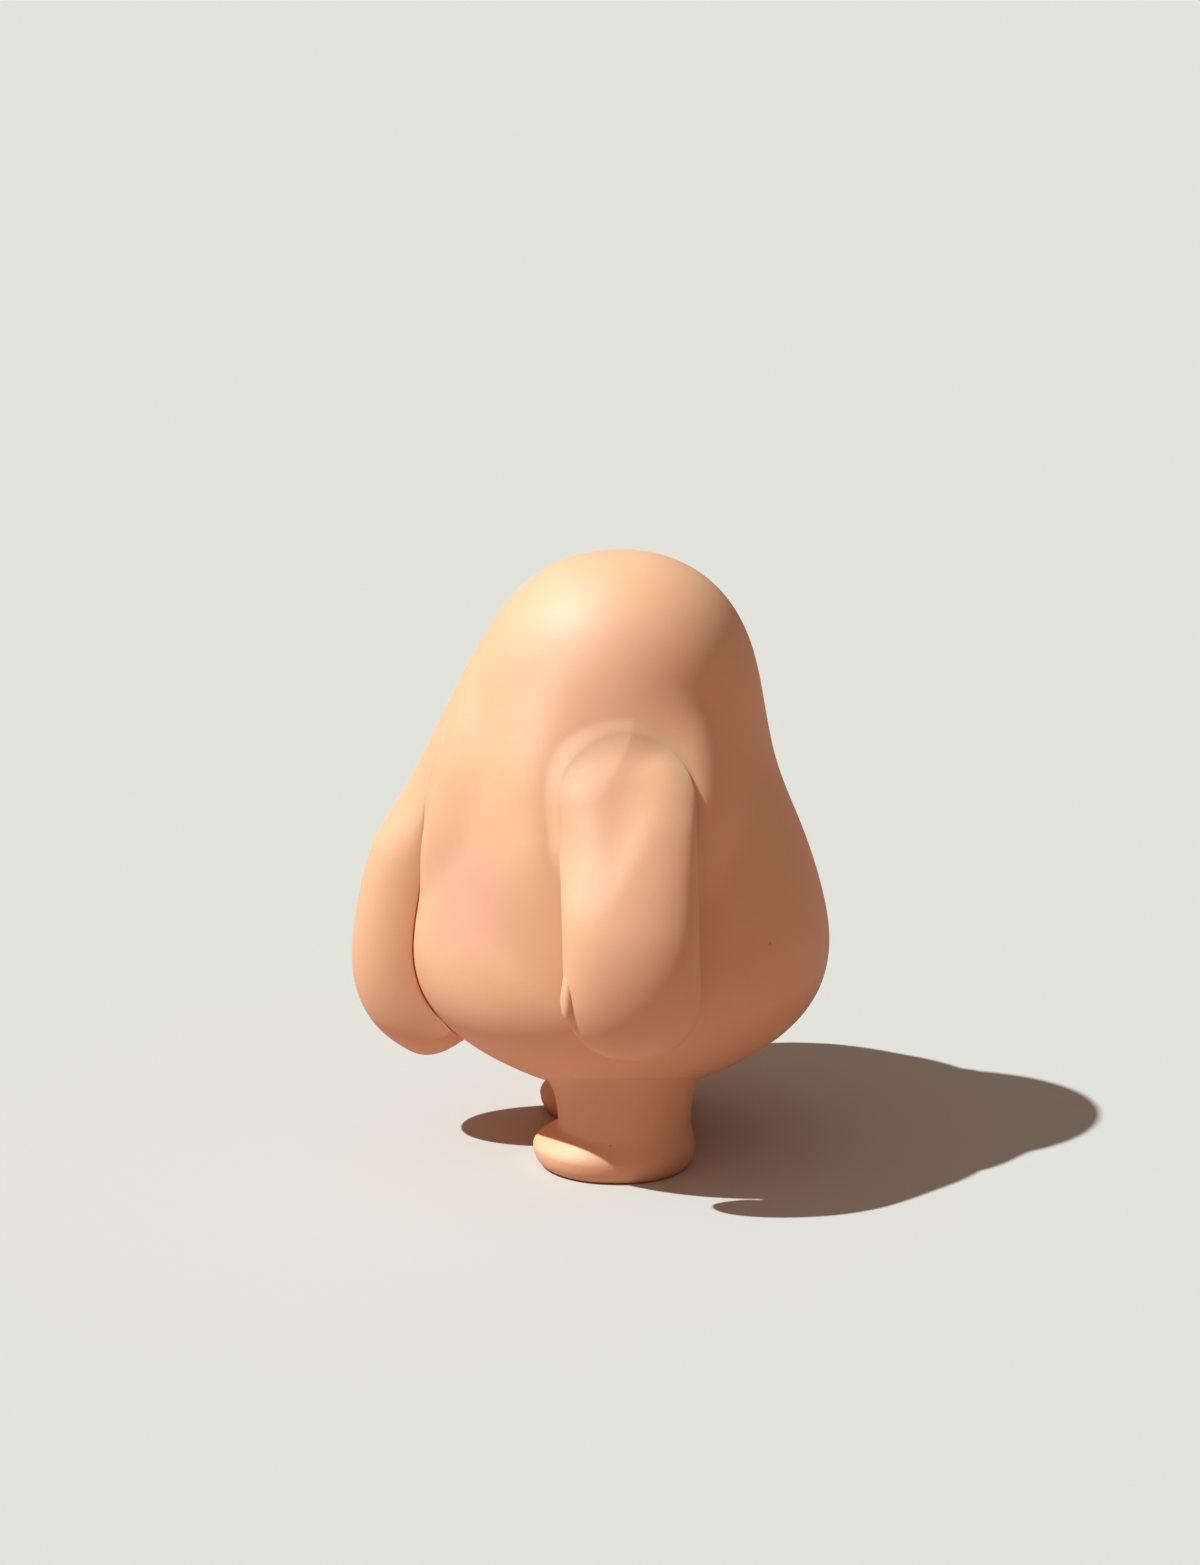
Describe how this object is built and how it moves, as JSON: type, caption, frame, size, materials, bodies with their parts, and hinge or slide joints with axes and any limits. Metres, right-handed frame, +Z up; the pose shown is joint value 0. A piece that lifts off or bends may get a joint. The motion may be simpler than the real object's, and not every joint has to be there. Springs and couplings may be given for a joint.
{
  "type": "vinyl art toy",
  "caption": "Pear-shaped soft-vinyl art toy with a flat hanging nose, two swivelling flap arms and two short legs, standing on its soles.",
  "frame": {"origin": "middle of the bounding box, at the level of the soles", "axes": "+Z up, the figure faces -Y, +X towards its left arm"},
  "size_m": [0.1508, 0.1382, 0.173],
  "materials": {
    "peach_soft_vinyl": "matte",
    "white_joint_plastic": "satin",
    "black_rubber": "matte",
    "zinc_plated_steel": "satin"
  },
  "bodies": {
    "torso": {"body_shell": "peach_soft_vinyl", "nose": "peach_soft_vinyl", "nose_retainer": "white_joint_plastic", "left_arm_friction_ring": "black_rubber", "right_arm_friction_ring": "black_rubber", "left_leg": "peach_soft_vinyl", "right_leg": "peach_soft_vinyl", "left_leg_retainer": "white_joint_plastic", "right_leg_retainer": "white_joint_plastic", "left_foot_weight": "zinc_plated_steel", "right_foot_weight": "zinc_plated_steel"},
    "left_arm": {"left_arm": "peach_soft_vinyl", "left_arm_retainer": "white_joint_plastic"},
    "right_arm": {"right_arm": "peach_soft_vinyl", "right_arm_retainer": "white_joint_plastic"}
  },
  "joints": [
    {"name": "left_shoulder", "type": "hinge", "parent": "torso", "child": "left_arm", "pos_m": [0.0467, 0.0116, 0.11257], "axis": [-0.9465, -0.0595, -0.3173], "range_deg": [-60, 110]},
    {"name": "right_shoulder", "type": "hinge", "parent": "torso", "child": "right_arm", "pos_m": [-0.0467, 0.0116, 0.11257], "axis": [-0.9465, 0.0595, 0.3173], "range_deg": [-60, 110]}
  ]
}
